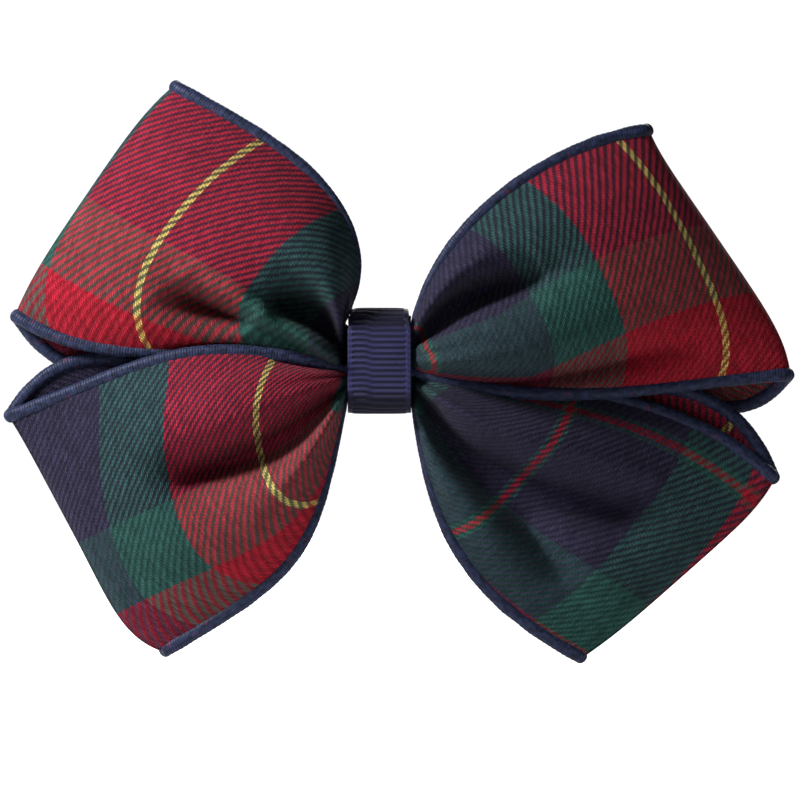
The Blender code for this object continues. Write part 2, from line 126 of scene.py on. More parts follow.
# Each loop's edges are (knot, knot handle, fold handle, fold corner) in X and Z, and fold_y is the
# depth of its fold. Values in threes are for (lower edge, middle, upper edge).
# front_puff, back_puff: how far the layers swell; rise: the lower, the nearer the knot the front swells.
# pleat: how far the two pleats beside the middle stand out; bulge: how far the fold bows outwards.
# line: from the fold to the loop's gold or red cross line, at five places from the lower edge up.
# line_sett: where that line lies in the sett along the strip.
# stripe: where the sett across the strip starts; drift: how far the check slips towards the knot.
# creases: paths over the cloth, as (distance from the fold, distance above the strip's middle), with
# how deep and how wide the crease is along its path. A negative depth is a ridge.
LOOPS = {
    "upper_left": {
        "front_lower": ((-5.2, -3.0), (-21.0, 5.6), (-38.8, -3.5), (-54.7, 6.8)),
        "front_upper": ((-6.0, 5.4), (5.0, 23.5), (-19.5, 34.8), (-30.8, 41.3)),
        "back_lower": ((-5.2, -3.0), (-22.0, 5.0), (-43.0, -12.0), (-54.7, 6.8)),
        "back_upper": ((-6.0, 5.4), (-3.0, 20.0), (-17.0, 32.5), (-30.8, 41.3)),
        "fold_y": -5.1,
        "front_puff": (2.6, 12.0, 3.2),
        "rise": 0.5,
        "back_puff": (0.6, 0.2, 0.2),
        "pleat": 2.6,
        "bulge": (1.2, 1.5, 1.5),
        "line": (22.6, 18.0, 17.2, 17.4, 17.0),
        "line_sett": 0.0,
        "stripe": 24.5,
        "drift": 6.6,
        "creases": (
            {
                "path": ((50, -2), (43, -4), (36, -6)),
                "depth": (5.0, 20.0, 3.0),
                "width": (3.0, 4.0, 3.6),
            },
            {
                "path": ((51, 8), (47, 12), (42, 19)),
                "depth": (4.0, 3.0, 0.5),
                "width": (2.0, 2.5, 3.0),
            },
            {
                "path": ((36, -13), (29, -11), (22, -8)),
                "depth": (3.0, 10.0, 1.6),
                "width": (2.5, 3.2, 3.0),
            },
            {
                "path": ((48, -13), (33, -8), (22, -6)),
                "depth": (-3.0, -3.2, -0.4),
                "width": (4.0, 3.2, 3.2),
            },
        ),
    },
    "lower_right": {
        "front_lower": ((5.2, -5.4), (7.6, -25.0), (12.8, -35.0), (30.4, -44.7)),
        "front_upper": ((5.2, -1.8), (24.3, -4.4), (44.8, -3.5), (59.5, -17.7)),
        "back_lower": ((5.2, -5.4), (11.5, -22.0), (17.0, -33.0), (30.4, -44.7)),
        "back_upper": ((5.2, -1.8), (20.0, -13.0), (49.5, 9.0), (59.5, -17.7)),
        "fold_y": -2.8,
        "front_puff": (2.2, 9.0, 0.4),
        "rise": 0.28,
        "back_puff": (0.2, 0.0, -1.0),
        "pleat": 2.4,
        "bulge": (0.8, 1.3, 1.8),
        "line": (28.8, 29.4, 31.0, 32.5, 34.2),
        "line_sett": WEFT_HALF_SETT,
        "stripe": 17.0,
        "drift": 1.5,
        "creases": (
            {
                "path": ((54, -4), (42, -8), (17, 2)),
                "depth": (14.0, 17.0, 8.0),
                "width": (4.6, 5.0, 4.6),
            },
            {
                "path": ((36, -7), (24, -9), (12, -13)),
                "depth": (4.0, 6.0, 1.6),
                "width": (3.2, 3.4, 4.0),
            },
            {
                "path": ((40, 6), (27, 9), (14, 11)),
                "depth": (-2.0, -2.2, -0.4),
                "width": (3.4, 4.0, 3.6),
            },
        ),
    },
    "lower_left": {
        "front_lower": ((-5.2, -5.4), (-10.0, -30.0), (-12.0, -31.5), (-32.3, -43.6)),
        "front_upper": ((-5.2, -1.2), (-30.0, 4.6), (-33.0, 0.0), (-55.6, -8.3)),
        "back_lower": ((-5.2, -5.4), (-13.0, -27.0), (-16.0, -31.0), (-32.3, -43.6)),
        "back_upper": ((-5.2, -1.2), (-22.0, -16.0), (-42.0, 14.0), (-55.6, -8.3)),
        "fold_y": -6.5,
        "front_puff": (2.6, 11.0, 2.6),
        "rise": 0.55,
        "back_puff": (1.0, 1.6, 0.3),
        "pleat": 2.4,
        "bulge": (4.4, 1.7, 0.0),
        "line": (35.2, 33.2, 34.6, 38.4, 42.2),
        "line_sett": 0.0,
        "stripe": 24.3,
        "drift": 4.4,
        "creases": (
            {
                "path": ((56, -8), (40, -4), (24, 1)),
                "depth": (9.0, 15.0, 9.0),
                "width": (2.8, 3.6, 4.2),
            },
            {
                "path": ((50, -13), (42, -12), (32, -10)),
                "depth": (-2.0, -1.8, -0.3),
                "width": (3.0, 3.5, 4.0),
            },
            {
                "path": ((51, 17), (46, 18), (40, 20)),
                "depth": (3.0, 3.0, 0.5),
                "width": (2.5, 3.0, 3.0),
            },
        ),
    },
    "upper_right": {
        "front_lower": ((5.2, -1.6), (23.8, -8.3), (43.0, -3.2), (61.7, -2.0)),
        "front_upper": ((5.2, 5.4), (9.0, 20.8), (26.0, 32.6), (40.4, 34.8)),
        "back_lower": ((5.2, -1.6), (24.0, 20.0), (49.0, -20.5), (61.7, -2.0)),
        "back_upper": ((5.2, 5.4), (11.5, 20.0), (24.0, 28.5), (40.4, 34.8)),
        "fold_y": -4.6,
        "front_puff": (1.2, 11.0, 2.6),
        "rise": 0.5,
        "back_puff": (6.2, 3.2, 1.6),
        "pleat": 2.4,
        "bulge": (2.4, 0.9, -0.8),
        "line": (11.4, 8.8, 7.4, 5.9, 6.2),
        "line_sett": 0.0,
        "stripe": 29.2,
        "drift": 5.6,
        "creases": (
            {
                "path": ((56, 4), (45, 8), (30, 4)),
                "depth": (10.0, 16.0, 4.0),
                "width": (3.2, 4.2, 4.2),
            },
            {
                "path": ((48, 17), (42, 16), (34, 14)),
                "depth": (-1.5, -1.5, -0.3),
                "width": (3.0, 3.5, 4.0),
            },
            {
                "path": ((47, -20), (33, -17), (18, -15)),
                "depth": (4.5, 6.5, 2.6),
                "width": (3.0, 3.4, 3.5),
            },
        ),
    },
}

WRAP_LINE = (
    (-12.2, 0.0),
    (-12.2, 4.2),
    (-11.4, 6.4),
    (-9.2, 7.5),
    (-6.0, 7.0),
    (-1.8, 6.0),
    (0.15, 5.3),
    (0.75, 3.9),
    (0.75, 0.0),
)
WRAP_HALF = 4.75
WRAP_THICK = 0.7
LINING_THICK = 0.42

# Grosgrain: its ribs, which step along a little left of the wrap's middle, and its plain selvedges
RIBBON_COLUMNS = 44
RIB_PITCH = 0.85
RIB_HEIGHT = 0.12
RIB_STEP = 0.35
SELVEDGE = 0.75
SELVEDGE_START = 3.95
SELVEDGE_HEIGHT = 0.06
# Where the ribbon's turns begin and end, in millimetres from its middle: there it is darkened as painted
# shade
TURN_START = 4.4
TURN_END = 5.8

# The clip's spring: its wire and coil, and its legs in X and Y
SPRING_WIRE_R = 0.25
SPRING_COIL_R = 1.2
SPRING_TURNS = 4.5
SPRING_STEPS = 48
SPRING_SIDES = 14
SPRING_ARM_LEG = ((15.0, -0.1), (12.0, 0.0))
SPRING_LEVER_LEG = ((12.0, 3.0), (15.0, 4.3))

# The camera looks straight at the bow's front. These are in metres.
CAMERA_DISTANCE = 1.0
VIEW_WIDTH = 0.1212
VIEW_DROP = 0.0042

# ------------------------------------------------------------------ small helpers


def lerp(a, b, t):
    return a + (b - a) * t


def ease(t):
    t = np.clip(t, 0.0, 1.0)
    return t * t * (3 - 2 * t)


def across(values, v):
    """A smooth value at v from the values at the lower edge, the middle and the upper edge."""
    lower, middle, upper = values
    return lower * v * (v - 1) / 2 + middle * (1 - v * v) + upper * v * (v + 1) / 2


def bezier(points, t):
    """Points at each t on the cubic with these four control points."""
    a, b, c, d = (np.array(p, float) for p in points)
    t = np.asarray(t)[:, None]
    return (1 - t) ** 3 * a + 3 * (1 - t) ** 2 * t * b + 3 * (1 - t) * t**2 * c + t**3 * d


def unit(vectors):
    return vectors / np.maximum(np.linalg.norm(vectors, axis=-1, keepdims=True), 1e-9)


def smooth_line(points, steps):
    """A Catmull-Rom line through the points."""
    points = [np.array(p, float) for p in points]
    last = len(points) - 1
    found = []
    for span in range(last):
        a, b, c, d = (points[min(max(span + k, 0), last)] for k in (-1, 0, 1, 2))
        for t in np.arange(steps) / steps:
            bend = (2 * a - 5 * b + 4 * c - d) * t**2
            twist = (3 * b - a - 3 * c + d) * t**3
            found.append(b + 0.5 * ((c - a) * t + bend + twist))
    return np.array([*found, points[-1]])


def evenly(line, count):
    """The same line, resampled at this many evenly spaced points."""
    steps = np.linalg.norm(np.diff(line, axis=0), axis=1)
    place = np.concatenate([[0], np.cumsum(steps)])
    wanted = np.linspace(0, place[-1], count)
    return np.column_stack([np.interp(wanted, place, line[:, i]) for i in range(line.shape[1])])


def grid_object(name, points, uv, wrap_rows=False, wrap_columns=False):
    """A mesh from a grid of points, with a UV map in millimetres. Its rows or columns can join round."""
    rows, columns = points.shape[:2]
    index = np.arange(rows * columns).reshape(rows, columns)
    faces, corners = [], []
    for i in range(rows if wrap_rows else rows - 1):
        for j in range(columns if wrap_columns else columns - 1):
            ni, nj = (i + 1) % rows, (j + 1) % columns
            faces.append((index[i, j], index[i, nj], index[ni, nj], index[ni, j]))
            ui, uj = i + 1, j + 1
            corners += [uv(i, j), uv(i, uj), uv(ui, uj), uv(ui, j)]
    mesh = bpy.data.meshes.new(name)
    mesh.from_pydata((points.reshape(-1, 3) * MM).tolist(), [], [[int(k) for k in f] for f in faces])
    layer = mesh.uv_layers.new(name="cloth")
    layer.data.foreach_set("uv", np.array(corners, np.float32).ravel())
    mesh.update()
    mesh.shade_smooth()
    obj = bpy.data.objects.new(name, mesh)
    bpy.context.scene.collection.objects.link(obj)
    return obj


def solidify(obj, thickness):
    solid = obj.modifiers.new("Thickness", "SOLIDIFY")
    solid.thickness = thickness * MM
    solid.offset = 0.0


def close_ends(obj):
    """Fills the open ends of a tube."""
    bm = bmesh.new()
    bm.from_mesh(obj.data)
    bmesh.ops.holes_fill(bm, edges=[e for e in bm.edges if e.is_boundary], sides=0)
    bm.to_mesh(obj.data)
    bm.free()


# ------------------------------------------------------------------ materials


class Shader:
    """Builds one material's nodes."""

    def __init__(self, name, roughness=0.5, metallic=0.0):
        self.material = bpy.data.materials.new(name)
        self.material.use_nodes = True
        self.tree = self.material.node_tree
        self.surface = self.tree.nodes["Principled BSDF"]
        self.surface.inputs["Roughness"].default_value = roughness
        self.surface.inputs["Metallic"].default_value = metallic

    def feed(self, socket, value):
        if isinstance(value, bpy.types.NodeSocket):
            self.tree.links.new(value, socket)
        elif isinstance(value, tuple) and len(value) == 3 and socket.type == "RGBA":
            socket.default_value = (*value, 1.0)
        else:
            socket.default_value = value

    def math(self, operation, a, b=0.0, c=0.0):
        node = self.tree.nodes.new("ShaderNodeMath")
        node.operation = operation
        for socket, value in zip(node.inputs, (a, b, c)):
            self.feed(socket, value)
        return node.outputs[0]

    def times(self, a, b):
        return self.math("MULTIPLY", a, b)

    def half_wave(self, value):
        """Rises from 0 to 1 and falls back to 0 in each whole step of a value."""
        return self.math("SINE", self.times(self.math("FRACT", value), math.pi))

    def grey(self, value):
        return self.vector(value, value, value)

    def mix(self, share, a, b, blend="MIX"):
        node = self.tree.nodes.new("ShaderNodeMix")
        node.data_type = "RGBA"
        node.blend_type = blend
        self.feed(node.inputs["Factor"], share)
        self.feed(node.inputs["A"], a)
        self.feed(node.inputs["B"], b)
        return node.outputs["Result"]

    def bands(self, place, stops):
        """Hard-edged colours along a 0 to 1 value, from (where it starts, colour)."""
        node = self.tree.nodes.new("ShaderNodeValToRGB")
        ramp = node.color_ramp
        ramp.interpolation = "CONSTANT"
        ramp.elements[0].position = 0.0
        ramp.elements[0].color = (*stops[0][1], 1.0)
        ramp.elements.remove(ramp.elements[1])
        for start, color in stops[1:]:
            ramp.elements.new(start).color = (*color, 1.0)
        self.feed(node.inputs[0], place)
        return node.outputs["Color"]

    def uv(self):
        node = self.tree.nodes.new("ShaderNodeUVMap")
        node.uv_map = "cloth"
        split = self.tree.nodes.new("ShaderNodeSeparateXYZ")
        self.feed(split.inputs[0], node.outputs[0])
        return split.outputs[0], split.outputs[1]

    def place(self):
        return self.tree.nodes.new("ShaderNodeTexCoord").outputs["Object"]

    def place_xyz(self):
        split = self.tree.nodes.new("ShaderNodeSeparateXYZ")
        self.feed(split.inputs[0], self.place())
        return split.outputs[:3]

    def noise(self, scale, detail=2.0, vector=None, roughness=0.5):
        node = self.tree.nodes.new("ShaderNodeTexNoise")
        node.inputs["Scale"].default_value = scale
        node.inputs["Detail"].default_value = detail
        node.inputs["Roughness"].default_value = roughness
        self.feed(node.inputs["Vector"], vector or self.place())
        return node.outputs["Fac"]

    def vector(self, x, y, z=0.0):
        node = self.tree.nodes.new("ShaderNodeCombineXYZ")
        for socket, value in zip(node.inputs, (x, y, z)):
            self.feed(socket, value)
        return node.outputs[0]

    def ranged(self, value, low, high, to_low, to_high):
        node = self.tree.nodes.new("ShaderNodeMapRange")
        for socket, given in zip(node.inputs, (value, low, high, to_low, to_high)):
            self.feed(socket, given)
        return node.outputs[0]

    def bump(self, height, distance_mm, strength=1.0, normal=None):
        node = self.tree.nodes.new("ShaderNodeBump")
        node.inputs["Distance"].default_value = distance_mm * MM
        node.inputs["Strength"].default_value = strength
        self.feed(node.inputs["Height"], height)
        if normal:
            self.feed(node.inputs["Normal"], normal)
        return node.outputs[0]

    def set(self, **values):
        for name, value in values.items():
            self.feed(self.surface.inputs[name.replace("_", " ")], value)
        return self.material


def srgb(*levels):
    """A linear colour from its red, green and blue levels, each from 0 to 255."""
    shares = [level / 255 for level in levels]
    return tuple(c / 12.92 if c <= 0.04 else ((c + 0.055) / 1.055) ** 2.4 for c in shares)


THREADS = {
    "red": srgb(184, 28, 50),
    "green": srgb(46, 92, 86),
    "navy": srgb(52, 48, 74),
    "gold": srgb(236, 208, 112),
}


def tartan_material():
    s = Shader("tartan_twill", roughness=0.8)
    u, v = s.uv()
    # Hand-soft cloth: its threads wander a little
    weft_wander = s.times(s.math("SUBTRACT", s.noise(420.0, 3.0), 0.5), 0.5)
    warp_wander = s.times(s.math("SUBTRACT", s.noise(1300.0, 2.0), 0.5), 0.24)
    u = s.math("ADD", u, weft_wander)
    v = s.math("ADD", v, warp_wander)
    red, green, navy, gold = (THREADS[k] for k in ("red", "green", "navy", "gold"))
    # Each band as (where it starts, thread colour); the sett is mirrored at both of its ends
    weft_stops = ((0.0, gold), (0.5, red), (15.5, green), (26.7, navy), (43.8, green), (44.6, red))
    warp_stops = ((0.0, red), (0.6, green), (1.5, navy), (24.5, green), (37.2, red))

    def sett(place, half, stops):
        folded = s.math("PINGPONG", place, half)
        return s.bands(s.math("DIVIDE", folded, half), [(start / half, color) for start, color in stops])

    weft = sett(u, WEFT_HALF_SETT, weft_stops)
    warp = sett(v, WARP_HALF_SETT, warp_stops)

    # A 2/2 twill: each thread passes over two and under two, one thread further on in each row
    across_count = s.math("DIVIDE", u, WEFT_PITCH)
    along_count = s.math("DIVIDE", v, WARP_PITCH)
    column = s.math("FLOOR", across_count)
    row = s.math("FLOOR", along_count)
    step = s.math("FLOORED_MODULO", s.math("SUBTRACT", column, row), 4.0)
    warp_on_top = s.math("LESS_THAN", step, 1.5)

    # Each float arches along its length, and is round across it
    warp_along = s.math("FLOORED_MODULO", s.math("SUBTRACT", across_count, row), 4.0)
    warp_along = s.math("DIVIDE", warp_along, 2.0)
    weft_along = s.math("FLOORED_MODULO", s.math("SUBTRACT", along_count, column), 4.0)
    weft_along = s.math("DIVIDE", weft_along, 2.0)

    def float_shade(along, thread):
        """A brightness of its own for each float."""
        number = s.math("FLOOR", s.math("DIVIDE", s.math("SUBTRACT", along, thread), 4.0))
        random = s.tree.nodes.new("ShaderNodeTexWhiteNoise")
        s.feed(random.inputs["Vector"], s.vector(thread, number))
        return s.ranged(random.outputs["Value"], 0.0, 1.0, 0.74, 1.26)

    warp_height = s.times(s.half_wave(along_count), s.math("SQRT", s.half_wave(warp_along)))
    weft_height = s.times(s.half_wave(across_count), s.math("SQRT", s.half_wave(weft_along)))
    height = s.math(
        "ADD",
        s.times(warp_height, s.times(warp_on_top, 0.5)),
        s.times(weft_height, s.math("SUBTRACT", 0.92, warp_on_top)),
    )
    # Hairs of the thread below always show between those of the thread above
    warp_share = s.math("ADD", 0.18, s.times(warp_on_top, 0.58))
    color = s.mix(warp_share, weft, warp)

    # The twill line is a raised cord of weft with a furrow of warp beside it; the cord is painted lighter
    # and the furrow darker, as painted highlight and shade
    cord = s.math("FLOORED_MODULO", s.math("SUBTRACT", across_count, along_count), 4.0)
    cord = s.math("SINE", s.times(s.math("SUBTRACT", cord, 1.0), math.pi / 4))
    cord = s.times(cord, cord)
    fuzz = s.noise(3200.0, 2.0)
    worn = s.noise(160.0, 3.0)
    # Painted shade: the threads are darker in the weave's hollows and lighter on their crests
    shade = s.ranged(height, 0.0, 1.0, 0.55, 1.15)
    shade = s.times(shade, s.ranged(cord, 0.0, 1.0, 0.7, 1.12))
    shade = s.times(shade, float_shade(along_count, column))
    shade = s.times(shade, s.ranged(fuzz, 0.3, 0.7, 0.86, 1.12))
    shade = s.times(shade, s.ranged(worn, 0.3, 0.7, 0.95, 1.05))
    color = s.mix(1.0, color, s.grey(shade), "MULTIPLY")
    color = s.mix(s.ranged(fuzz, 0.6, 0.75, 0.0, 0.1), color, srgb(150, 140, 150))
    fine = s.bump(s.noise(2600.0, 2.0), 0.05, 0.35)
    relief = s.math("ADD", height, s.times(cord, 0.8))
    normal = s.bump(relief, 0.14, 0.9, fine)
    s.surface.inputs["Sheen Weight"].default_value = 0.04
    s.surface.inputs["Sheen Roughness"].default_value = 0.5
    s.surface.inputs["Specular IOR Level"].default_value = 0.15
    return s.set(Base_Color=color, Roughness=s.ranged(height, 0.0, 1.0, 0.92, 0.72), Normal=normal)


def edging_material():
    """Overlock thread wound round the cloth's rolled edge, with specks of cloth between its turns."""
    s = Shader("overlock_thread", roughness=0.5)
    u, v = s.uv()
    turn = s.half_wave(s.math("ADD", s.math("DIVIDE", u, EDGING_TURN / 2), v))
    strand = s.noise(2.4, 3.0, s.vector(s.times(u, 0.35), s.times(v, 4.0)))
    speck = s.noise(1.0, 2.0, s.vector(s.times(u, 0.55), s.times(v, 3.0), 4.0))
    # Painted shade darkens the grooves between the thread's turns, and their crests are painted lighter
    shade = s.ranged(turn, 0.0, 1.0, 0.75, 1.12)
    shade = s.times(shade, s.ranged(strand, 0.35, 0.65, 0.55, 1.6))
    color = s.mix(1.0, srgb(38, 45, 72), s.grey(shade), "MULTIPLY")
    color = s.mix(s.ranged(speck, 0.64, 0.74, 0.0, 0.4), color, srgb(130, 46, 66))
    normal = s.bump(turn, 0.06, 0.7, s.bump(s.noise(2400.0, 2.0), 0.05, 0.4))
    s.surface.inputs["Sheen Weight"].default_value = 0.08
    s.surface.inputs["Sheen Roughness"].default_value = 0.35
    s.surface.inputs["Specular IOR Level"].default_value = 0.2
    return s.set(Base_Color=color, Roughness=s.ranged(turn, 0.0, 1.0, 0.7, 0.42), Normal=normal)


def grosgrain_material():
    """Ribbon with cross ribs between two plain selvedges; the ribs themselves are in the mesh, and their
    light and shade are painted into the colour too.
    """
    s = Shader("grosgrain", roughness=0.5)
    u, v = s.uv()
    fine = s.half_wave(s.math("DIVIDE", v, 0.21))
    crest = s.math("PINGPONG", s.math("DIVIDE", u, RIB_PITCH), 0.5)
    worn = s.noise(260.0, 3.0)
    # Painted light and shade: the ribs' crests are lighter and their troughs darker, and the fine threads'
    # furrows are darker too
    shade = s.times(s.ranged(crest, 0.0, 0.5, 1.7, 0.4), s.ranged(worn, 0.3, 0.7, 0.9, 1.08))
    shade = s.times(shade, s.ranged(fine, 0.0, 1.0, 0.84, 1.06))
    selvedge = s.math("GREATER_THAN", s.math("ABSOLUTE", v), SELVEDGE_START)
    shade = s.math("ADD", shade, s.times(selvedge, 0.35))
    # Where the ribbon turns above and below its face, painted shade darkens it and the painted rib shading
    # fades out
    z = s.place_xyz()[2]
    painted_turn_shade = s.ranged(s.math("ABSOLUTE", z), TURN_START * MM, TURN_END * MM, 0.0, 0.85)
    turn_unshaded = s.math("SUBTRACT", 1.0, painted_turn_shade)
    shade = s.math("ADD", s.times(shade, turn_unshaded), s.times(painted_turn_shade, 0.22))
    color = s.mix(1.0, srgb(41, 40, 78), s.grey(shade), "MULTIPLY")
    normal = s.bump(fine, 0.05, 0.6, s.bump(s.noise(2800.0, 2.0), 0.04, 0.4))
    s.surface.inputs["Sheen Weight"].default_value = 0.02
    s.surface.inputs["Specular IOR Level"].default_value = 0.25
    s.surface.inputs["Sheen Roughness"].default_value = 0.4
    return s.set(Base_Color=color, Roughness=s.ranged(crest, 0.0, 0.5, 0.42, 0.62), Normal=normal)


def cinch_material():
    s = Shader("cinch_thread", roughness=0.6)
    twist = s.tree.nodes.new("ShaderNodeTexWave")
    twist.bands_direction = "DIAGONAL"
    twist.inputs["Scale"].default_value = 900.0
    s.feed(twist.inputs["Vector"], s.place())
    strands = twist.outputs["Fac"]
    color = s.mix(strands, srgb(18, 18, 34), srgb(48, 48, 82))
    rough = s.ranged(strands, 0.0, 1.0, 0.7, 0.5)
    return s.set(Base_Color=color, Roughness=rough, Normal=s.bump(strands, 0.05, 0.8))


def glue_material():
    s = Shader("hot_melt", roughness=0.35)
    cloud = s.noise(420.0, 4.0)
    color = s.mix(cloud, srgb(205, 198, 178), srgb(236, 231, 214))
    s.surface.inputs["Subsurface Weight"].default_value = 0.3
    s.surface.inputs["Subsurface Radius"].default_value = (0.002, 0.0018, 0.0014)
    s.surface.inputs["Subsurface Scale"].default_value = 0.5
    normal = s.bump(s.noise(700.0, 3.0), 0.12, 0.5)
    return s.set(Base_Color=color, Roughness=s.ranged(cloud, 0.3, 0.7, 0.28, 0.5), Normal=normal)


def metal_material(name, pale, dark, brushed_mm, roughness):
    """Plated steel: fine drawing lines along X, dull patches and small pits."""
    s = Shader(name, roughness=roughness, metallic=1.0)
    x, y, z = s.place_xyz()
    lines = s.noise(1.0, 3.0, s.vector(s.times(x, 120.0), s.times(y, 6000.0), s.times(z, 6000.0)))
    patches = s.noise(180.0, 4.0)
    pits = s.noise(1500.0, 2.0)
    color = s.mix(s.ranged(patches, 0.35, 0.7, 0.0, 1.0), pale, dark)
    color = s.mix(s.ranged(pits, 0.68, 0.76, 0.0, 0.6), color, srgb(92, 86, 78))
    rough = s.ranged(lines, 0.3, 0.7, roughness - 0.07, roughness + 0.1)
    rough = s.math("ADD", rough, s.ranged(patches, 0.4, 0.7, 0.0, 0.12))
    normal = s.bump(lines, brushed_mm, 0.5, s.bump(pits, 0.02, 0.5))
    return s.set(Base_Color=color, Roughness=rough, Normal=normal)


MATERIALS = {
    "tartan_twill": tartan_material(),
    "edging_thread": edging_material(),
    "grosgrain": grosgrain_material(),
    "cinch_thread": cinch_material(),
    "hot_melt": glue_material(),
    "clip_steel": metal_material("nickel_plate", srgb(214, 212, 205), srgb(178, 175, 168), 0.012, 0.24),
    "spring_steel": metal_material("spring_wire", srgb(176, 176, 178), srgb(128, 128, 132), 0.01, 0.34),
}


def dress(obj, slot, body="bow"):
    """Gives a new piece the material named by its slot, and its body."""
    obj.data.materials.clear()
    obj.data.materials.append(MATERIALS[slot])
    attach(obj, body)
    return obj


# ------------------------------------------------------------------ tartan strips


def fold_gap(t):
    """Half the distance between the layers, which turn into each other on a half circle at the fold."""
    from_turn = np.minimum((1 - t) * LOOP_REACH, FOLD_R)
    return np.sqrt(np.maximum(FOLD_R**2 - (FOLD_R - from_turn) ** 2, 0.0)) * ease(t / 0.5)


def near_knot(t, peak):
    """Grows from 0 at the knot to 1 at the peak, and dies away towards the fold."""
    return t / peak * np.exp(1 - t / peak)


def off_edges(v):
    """1 over the cloth and 0 at its edges, which keep their line."""
    return 1 - v**6


def base_surface(loop, side, layers, t, v):
    """A loop's layer before its creases: t runs from the knot to the fold, and v from edge to edge."""
    lower = bezier(loop[side + "_lower"], t)
    upper = bezier(loop[side + "_upper"], t)
    t, v = t[:, None], v[None, :]
    share = (v[..., None] + 1) / 2
    flat = lower[:, None] * (1 - share) + upper[:, None] * share
    fold = np.array(loop["front_upper"][3]) - np.array(loop["front_lower"][3])
    outward = np.array((fold[1], -fold[0])) / np.linalg.norm(fold)
    outward *= np.sign(outward @ np.array(loop["front_upper"][3]))
    bulge = across(loop["bulge"], v) * (1 - v**4) * t**5
    flat = flat + bulge[..., None] * outward
    closing = np.maximum(1 - t * t, 0.0)
    middle = lerp(layers[side], loop["fold_y"], ease(t))
    if side == "back":
        swell = 2 * t * np.sqrt(closing)
        depth = middle + fold_gap(t) + across(loop["back_puff"], v) * swell * t
    else:
        swell = (1 + loop["rise"]) * t ** loop["rise"] * closing**FOLD_FLATNESS
        pleats = loop["pleat"] * (1 - np.cos(2 * np.pi * v)) / 2 * near_knot(t, PLEAT_PEAK)
        waves = np.cos(2 * np.pi * (GATHERS_ACROSS * v + GATHERS_START))
        gathers = GATHER_DEPTH * waves * near_knot(t, GATHER_PEAK)
        depth = middle - fold_gap(t) - across(loop["front_puff"], v) * swell
        depth = depth - pleats - gathers * off_edges(v)
    return np.stack([flat[..., 0], depth + 0 * flat[..., 0], flat[..., 1]], axis=-1)


def from_fold(points):
    """How far each point is from the fold, along the cloth."""
    steps = np.linalg.norm(np.diff(points, axis=0), axis=2)
    distance = np.zeros(points.shape[:2])
    distance[:-1] = np.cumsum(steps[::-1], axis=0)[::-1]
    return distance


def crease_depth(crease, s, v):
    """How far back a crease pushes the cloth, s from the fold and v above the middle."""
    path = smooth_line(crease["path"], 6)
    count = len(path) - 1
    nearest = np.full(s.shape, 1e9)
    along = np.zeros_like(s)
    for i in range(count):
        start = path[i]
        run = path[i + 1] - start
        share = ((s - start[0]) * run[0] + (v - start[1]) * run[1]) / (run @ run)
        share = np.clip(share, -RUN_ON if i == 0 else 0.0, 1.0)
        gap = np.hypot(s - start[0] - share * run[0], v - start[1] - share * run[1])
        closer = gap < nearest
        nearest = np.where(closer, gap, nearest)
        along = np.where(closer, (i + np.clip(share, 0, 1)) / count, along)
    place = 2 * along - 1
    width = across(crease["width"], place)
    depth = across(crease["depth"], place)
    return depth * np.exp(-((nearest / width) ** 1.5))


def loop_layer(loop, side, layers, direction, t, v):
    """One layer of a loop: its points, and its place in the cloth in millimetres."""
    base = base_surface(loop, side, layers, t, v)
    s = from_fold(base)
    v_mm = v[None, :] * STRIP_HALF + 0 * s
    points = base.copy()
    if side == "front":
        free = lerp(DEPTH_IN_GRIP, 1.0, ease(t / GRIP_END))[:, None]
        for crease in loop["creases"]:
            points[..., 1] += crease_depth(crease, s, v_mm) * free * off_edges(v)
        # A crease that would pass through the back layer flattens out just in front of it
        limit = base_surface(loop, "back", layers, t, v)[..., 1] - LAYER_GAP
        points[..., 1] = np.minimum(points[..., 1], lerp(limit, points[..., 1], 0.08))
    line = np.polyval(np.polyfit((-1, -0.5, 0, 0.5, 1), loop["line"], 4), v)[None, :]
    outward = direction * (s - line) if side == "front" else direction * (-s - line)
    slip = loop["drift"] * (np.minimum(s, DRIFT_END) / DRIFT_PLACE) ** 2 * (1 - v_mm / STRIP_HALF) / 2
    return points, np.stack([loop["line_sett"] + outward, v_mm + slip - loop["stripe"]], axis=-1)


def strip_layers(left, right, layers):
    """The closed band's points and cloth places, as two halves that meet inside the knot."""
    t = np.sin(np.linspace(0, np.pi / 2, ALONG + 1))
    v = np.linspace(-1, 1, ACROSS + 1)
    halves = []
    for loop, direction in ((left, 1), (right, -1)):
        front, front_uv = loop_layer(loop, "front", layers, direction, t, v)
        back, back_uv = loop_layer(loop, "back", layers, direction, t, v)
        points = np.concatenate([front, back[-2::-1]])
        places = np.concatenate([front_uv, back_uv[-2::-1]])
        halves.append((points, places))
    return halves


def make_strip(name, left, right, layers):
    """A strip of tartan sewn into a closed band, with an overlocked edging along each side."""
    (left_points, left_uv), (right_points, right_uv) = strip_layers(left, right, layers)
    band = np.concatenate([left_points, right_points[::-1]])
    places = np.concatenate([left_uv, right_uv[::-1]])
    join = len(left_points)

    def place(i, j):
        # The faces through the knot take the cloth place of the loop that they leave
        return places[join - 1 if i == join else i % len(band), j]

    cloth = grid_object(name + "_cloth", band, place, wrap_rows=True)
    solidify(cloth, CLOTH)
    dress(cloth, "tartan_twill")
    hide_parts(name)
    edgings = []
    for side, near, far in (("lower", 0, -1), ("upper", -1, 0)):
        node = f"{name}_{side}_edging"
        edging = make_edging(node + "_stitching", band[:, near], band[:, far])
        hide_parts(node)
        edgings.append(edging)
    length = float(np.linalg.norm(np.diff(band[:, ACROSS // 2], axis=0), axis=1).sum())
    return cloth, edgings, length


